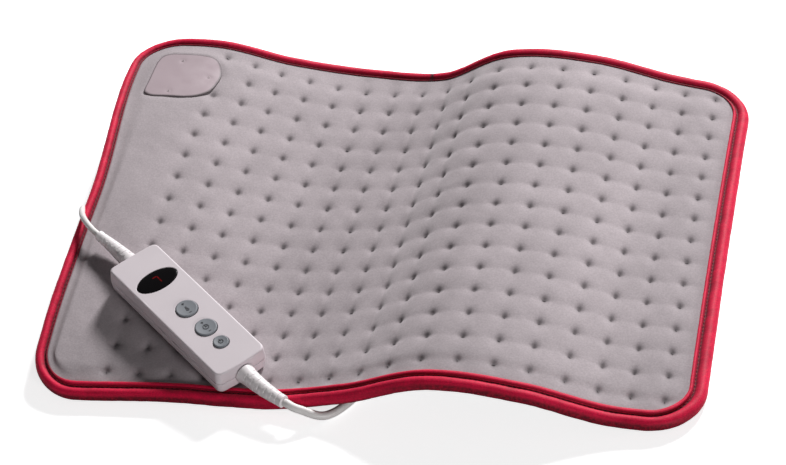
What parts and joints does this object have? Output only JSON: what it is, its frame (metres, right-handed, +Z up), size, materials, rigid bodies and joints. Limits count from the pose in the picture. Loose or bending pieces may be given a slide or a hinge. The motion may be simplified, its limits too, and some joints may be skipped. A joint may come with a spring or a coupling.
{
  "type": "heating pad with controller",
  "caption": "Tufted grey heating pad lying in a soft wave, bound in red, with a wired handheld controller resting on its front left edge.",
  "frame": {"origin": "middle of the pad's box, on the surface that it lies on", "axes": "+X to the right along the pad's long side, +Y to its rear, +Z up out of its tufted face"},
  "size_m": [0.4472, 0.3514, 0.0498],
  "materials": {
    "velvet": "short-pile velvet",
    "under_velvet": "short-pile velvet",
    "fleece": "needled felt",
    "binding": "rolled knit band",
    "patch": "fine satin",
    "housing": "satin",
    "button": "satin",
    "lens": "polished",
    "lead": "smooth",
    "steel": "bright",
    "wire": "smooth",
    "board": "lacquered",
    "component": "moulded",
    "capacitor": "dipped"
  },
  "bodies": {
    "root": {"top_cover": "velvet", "bottom_cover": "under_velvet", "fleece_core": "fleece", "heating_wire": "wire", "thermal_fuse": "component", "edge_binding": "binding", "corner_patch": "patch", "patch_rivet_1": "steel", "patch_rivet_2": "steel", "patch_rivet_3": "steel", "connector_socket": "component", "socket_pin_1": "steel", "socket_pin_2": "steel", "connector_plug": "lead", "upper_shell": "housing", "lower_shell": "housing", "display_window": "lens", "display_module": "component", "circuit_board": "board", "push_switch_1": "component", "push_switch_2": "component", "push_switch_3": "component", "push_switch_4": "component", "push_switch_5": "component", "film_capacitor": "capacitor", "triac": "component", "mains_fuse": "steel", "microcontroller": "component", "case_screw_1": "steel", "case_screw_2": "steel", "case_screw_3": "steel", "case_screw_4": "steel", "mains_lead_relief": "lead", "pad_lead_relief": "lead", "pad_lead": "lead", "pad_lead_coil": "lead", "pad_lead_tie": "component", "pad_lead_tail": "lead", "mains_lead": "lead", "mains_lead_coil": "lead", "mains_lead_tie": "component", "mains_lead_tail": "lead", "mains_plug": "lead", "plug_pin_1": "steel", "plug_pin_2": "steel"},
    "level_button": {"level_button": "button"},
    "timer_button": {"timer_button": "button"},
    "power_button": {"power_button": "button"}
  },
  "joints": [
    {"name": "level_rock", "type": "hinge", "parent": "root", "child": "level_button", "pos_m": [-0.11545, -0.11247, 0.03121], "axis": [0.6428, 0.766, 0], "range_deg": [-3, 3], "stiffness_Nm_per_rad": 0.5},
    {"name": "timer_rock", "type": "hinge", "parent": "root", "child": "timer_button", "pos_m": [-0.09912, -0.12617, 0.0284], "axis": [0.6428, 0.766, 0], "range_deg": [-3, 3], "stiffness_Nm_per_rad": 0.5},
    {"name": "power_press", "type": "slide", "parent": "root", "child": "power_button", "axis": [-0.1, 0.0839, -0.9914], "range_m": [0, 0.0006], "stiffness_N_per_m": 1200}
  ]
}
